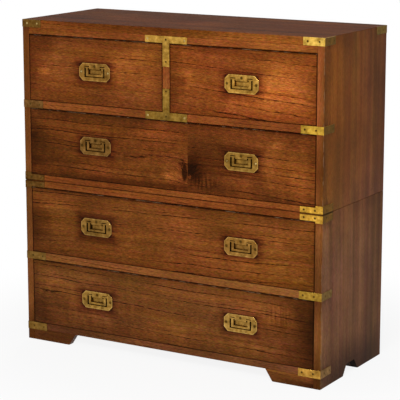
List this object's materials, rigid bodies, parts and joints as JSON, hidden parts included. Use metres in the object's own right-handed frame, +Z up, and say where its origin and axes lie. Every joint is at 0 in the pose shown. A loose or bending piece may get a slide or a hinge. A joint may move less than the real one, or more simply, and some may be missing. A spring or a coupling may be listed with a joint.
{
  "type": "chest of drawers",
  "caption": "Chest of drawers in stacking upper and lower sections on bracket feet, with sliding drawers, inlaid brass straps on its corners and sunk drop handles.",
  "frame": {"origin": "on the floor under the middle of the chest's bounding box", "axes": "+X to the right when facing the front, -Y out of the front, +Z up"},
  "size_m": [1.0416, 0.4116, 1.02],
  "materials": {
    "case_wood": "old french polish over reddish brown hardwood",
    "front_wood": "old french polish over figured orange brown hardwood",
    "lining_wood": "bare planed softwood, darkened with age",
    "brass": "aged satin brass"
  },
  "bodies": {
    "lower_section": {"lower_side_left": "case_wood", "lower_side_right": "case_wood", "lower_top_board": "case_wood", "lower_divider": "case_wood", "lower_bottom_board": "case_wood", "lower_back_panel": "case_wood", "front_foot_left": "case_wood", "front_foot_right": "case_wood", "rear_foot_block_left": "case_wood", "rear_foot_block_right": "case_wood", "strap_lower_top_left": "brass", "strap_lower_top_right": "brass", "strap_lower_rail_left": "brass", "strap_lower_rail_right": "brass", "strap_lower_base_left": "brass", "strap_lower_base_right": "brass"},
    "upper_section": {"upper_side_left": "case_wood", "upper_side_right": "case_wood", "upper_top_board": "case_wood", "upper_top_rail": "case_wood", "upper_divider": "case_wood", "upper_partition": "case_wood", "upper_bottom_board": "case_wood", "upper_back_panel": "case_wood", "t_strap_upper": "brass", "t_strap_lower": "brass", "strap_rear_top_left": "brass", "strap_rear_top_right": "brass", "strap_top_left": "brass", "strap_top_right": "brass", "strap_upper_rail_left": "brass", "strap_upper_rail_right": "brass", "strap_upper_base_left": "brass", "strap_upper_base_right": "brass"},
    "short_left_drawer": {"short_left_front": "front_wood", "short_left_box": "lining_wood", "short_left_plate": "brass"},
    "short_left_bail": {"short_left_bail": "brass"},
    "short_right_drawer": {"short_right_front": "front_wood", "short_right_box": "lining_wood", "short_right_plate": "brass"},
    "short_right_bail": {"short_right_bail": "brass"},
    "long_1_drawer": {"long_1_front": "front_wood", "long_1_box": "lining_wood", "long_1_plate_left": "brass", "long_1_plate_right": "brass"},
    "long_1_bail_left": {"long_1_bail_left": "brass"},
    "long_1_bail_right": {"long_1_bail_right": "brass"},
    "long_2_drawer": {"long_2_front": "front_wood", "long_2_box": "lining_wood", "long_2_plate_left": "brass", "long_2_plate_right": "brass"},
    "long_2_bail_left": {"long_2_bail_left": "brass"},
    "long_2_bail_right": {"long_2_bail_right": "brass"},
    "long_3_drawer": {"long_3_front": "front_wood", "long_3_box": "lining_wood", "long_3_plate_left": "brass", "long_3_plate_right": "brass"},
    "long_3_bail_left": {"long_3_bail_left": "brass"},
    "long_3_bail_right": {"long_3_bail_right": "brass"}
  },
  "joints": [
    {"name": "upper_section_lift", "type": "slide", "parent": "lower_section", "child": "upper_section", "axis": [0, 0, 1], "range_m": [0, 0.08]},
    {"name": "short_left_drawer_slide", "type": "slide", "parent": "upper_section", "child": "short_left_drawer", "axis": [0, -1, 0], "range_m": [0, 0.3]},
    {"name": "short_left_bail_hinge", "type": "hinge", "parent": "short_left_drawer", "child": "short_left_bail", "pos_m": [-0.25457, -0.2028, 0.88565], "axis": [-1, 0, 0], "range_deg": [0, 90]},
    {"name": "short_right_drawer_slide", "type": "slide", "parent": "upper_section", "child": "short_right_drawer", "axis": [0, -1, 0], "range_m": [0, 0.3]},
    {"name": "short_right_bail_hinge", "type": "hinge", "parent": "short_right_drawer", "child": "short_right_bail", "pos_m": [0.25457, -0.2028, 0.88565], "axis": [-1, 0, 0], "range_deg": [0, 90]},
    {"name": "long_1_drawer_slide", "type": "slide", "parent": "upper_section", "child": "long_1_drawer", "axis": [0, -1, 0], "range_m": [0, 0.3]},
    {"name": "long_1_bail_left_hinge", "type": "hinge", "parent": "long_1_drawer", "child": "long_1_bail_left", "pos_m": [-0.25457, -0.2028, 0.6582], "axis": [-1, 0, 0], "range_deg": [0, 90]},
    {"name": "long_1_bail_right_hinge", "type": "hinge", "parent": "long_1_drawer", "child": "long_1_bail_right", "pos_m": [0.25457, -0.2028, 0.6582], "axis": [-1, 0, 0], "range_deg": [0, 90]},
    {"name": "long_2_drawer_slide", "type": "slide", "parent": "lower_section", "child": "long_2_drawer", "axis": [0, -1, 0], "range_m": [0, 0.3]},
    {"name": "long_2_bail_left_hinge", "type": "hinge", "parent": "long_2_drawer", "child": "long_2_bail_left", "pos_m": [-0.25457, -0.2028, 0.4047], "axis": [-1, 0, 0], "range_deg": [0, 90]},
    {"name": "long_2_bail_right_hinge", "type": "hinge", "parent": "long_2_drawer", "child": "long_2_bail_right", "pos_m": [0.25457, -0.2028, 0.4047], "axis": [-1, 0, 0], "range_deg": [0, 90]},
    {"name": "long_3_drawer_slide", "type": "slide", "parent": "lower_section", "child": "long_3_drawer", "axis": [0, -1, 0], "range_m": [0, 0.3]},
    {"name": "long_3_bail_left_hinge", "type": "hinge", "parent": "long_3_drawer", "child": "long_3_bail_left", "pos_m": [-0.25457, -0.2028, 0.17295], "axis": [-1, 0, 0], "range_deg": [0, 90]},
    {"name": "long_3_bail_right_hinge", "type": "hinge", "parent": "long_3_drawer", "child": "long_3_bail_right", "pos_m": [0.25457, -0.2028, 0.17295], "axis": [-1, 0, 0], "range_deg": [0, 90]}
  ]
}
